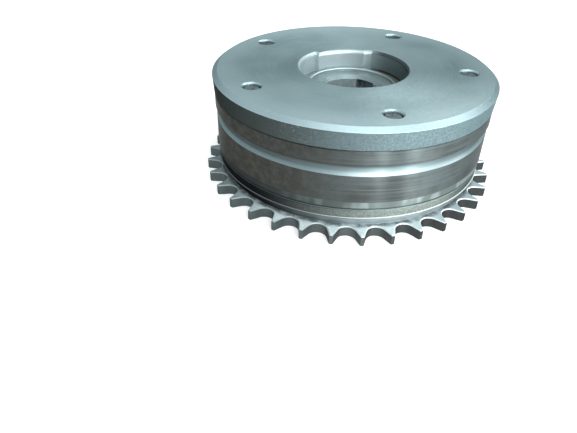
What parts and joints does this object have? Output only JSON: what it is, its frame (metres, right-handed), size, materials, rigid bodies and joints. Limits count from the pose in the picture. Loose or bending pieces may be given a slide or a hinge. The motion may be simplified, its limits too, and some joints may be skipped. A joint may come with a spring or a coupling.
{
  "type": "cam phaser",
  "caption": "Hydraulic vane-type cam phaser: a chain sprocket and stator housing closed by a cover plate, with a vaned rotor, lock pin and tip seals inside.",
  "frame": {"origin": "on the axis, at the sprocket's rear face", "axes": "+Z along the axis towards the cover plate; +Y towards the wide chamber that holds the lock pin"},
  "size_m": [0.1068, 0.1072, 0.0391],
  "materials": {
    "plate_steel": "ground face, satin, with a bright turned edge",
    "turned_steel": "fine turned bands and a paler blasted cove",
    "sprocket_steel": "fine blanked and tumbled, satin",
    "rotor_steel": "pressed and sized, satin",
    "screw_steel": "oiled, brownish",
    "hardened_steel": "ground",
    "spring_steel": "drawn",
    "seal_polymer": "dark moulded"
  },
  "bodies": {
    "driven_case": {"sprocket": "sprocket_steel", "lock_bush": "hardened_steel", "stator_housing": "turned_steel", "cover_plate": "plate_steel", "housing_screw_1": "screw_steel", "housing_screw_2": "screw_steel", "housing_screw_3": "screw_steel", "housing_screw_4": "screw_steel", "housing_screw_5": "screw_steel"},
    "rotor_assembly": {"rotor": "rotor_steel", "vane_seal_1": "seal_polymer", "vane_seal_2": "seal_polymer", "vane_seal_3": "seal_polymer", "vane_seal_4": "seal_polymer", "vane_seal_5": "seal_polymer", "seal_spring_1": "spring_steel", "seal_spring_2": "spring_steel", "seal_spring_3": "spring_steel", "seal_spring_4": "spring_steel", "seal_spring_5": "spring_steel", "camshaft_adapter": "rotor_steel", "lock_spring_seat": "hardened_steel", "lock_spring": "spring_steel"},
    "lock_pin_body": {"lock_pin": "hardened_steel"}
  },
  "joints": [
    {"name": "phase_hinge", "type": "hinge", "parent": "driven_case", "child": "rotor_assembly", "pos_m": [0, 0, 0], "axis": [0, 0, -1], "range_deg": [0, 25]},
    {"name": "lock_pin_slide", "type": "slide", "parent": "rotor_assembly", "child": "lock_pin_body", "axis": [0, 0, -1], "range_m": [0, 0.0018], "stiffness_N_per_m": 500, "springref_m": 0.008, "deforming": ["lock_spring"]}
  ]
}
